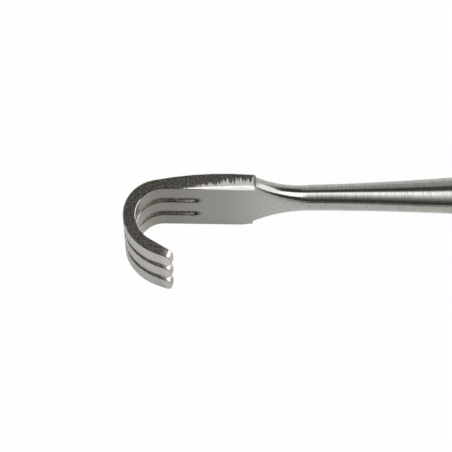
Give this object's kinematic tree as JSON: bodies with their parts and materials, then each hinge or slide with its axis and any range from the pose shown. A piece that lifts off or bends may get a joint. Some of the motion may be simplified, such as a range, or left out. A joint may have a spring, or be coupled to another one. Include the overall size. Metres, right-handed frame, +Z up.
{
  "type": "surgical retractor",
  "caption": "Handheld rake retractor: a slotted flat blade bent into a blunt hook, a slim neck that swells into a round shank, and an open loop grip.",
  "frame": {"origin": "on the blade's lower side face, under the shank's axis, where the flat blade meets its bend", "axes": "+X along the shank towards the grip, +Z up across the blade's width, hook opening towards -Y"},
  "size_m": [0.215, 0.0157, 0.015],
  "materials": {
    "steel": "satin"
  },
  "bodies": {
    "root": {"retractor": "steel"}
  },
  "joints": []
}
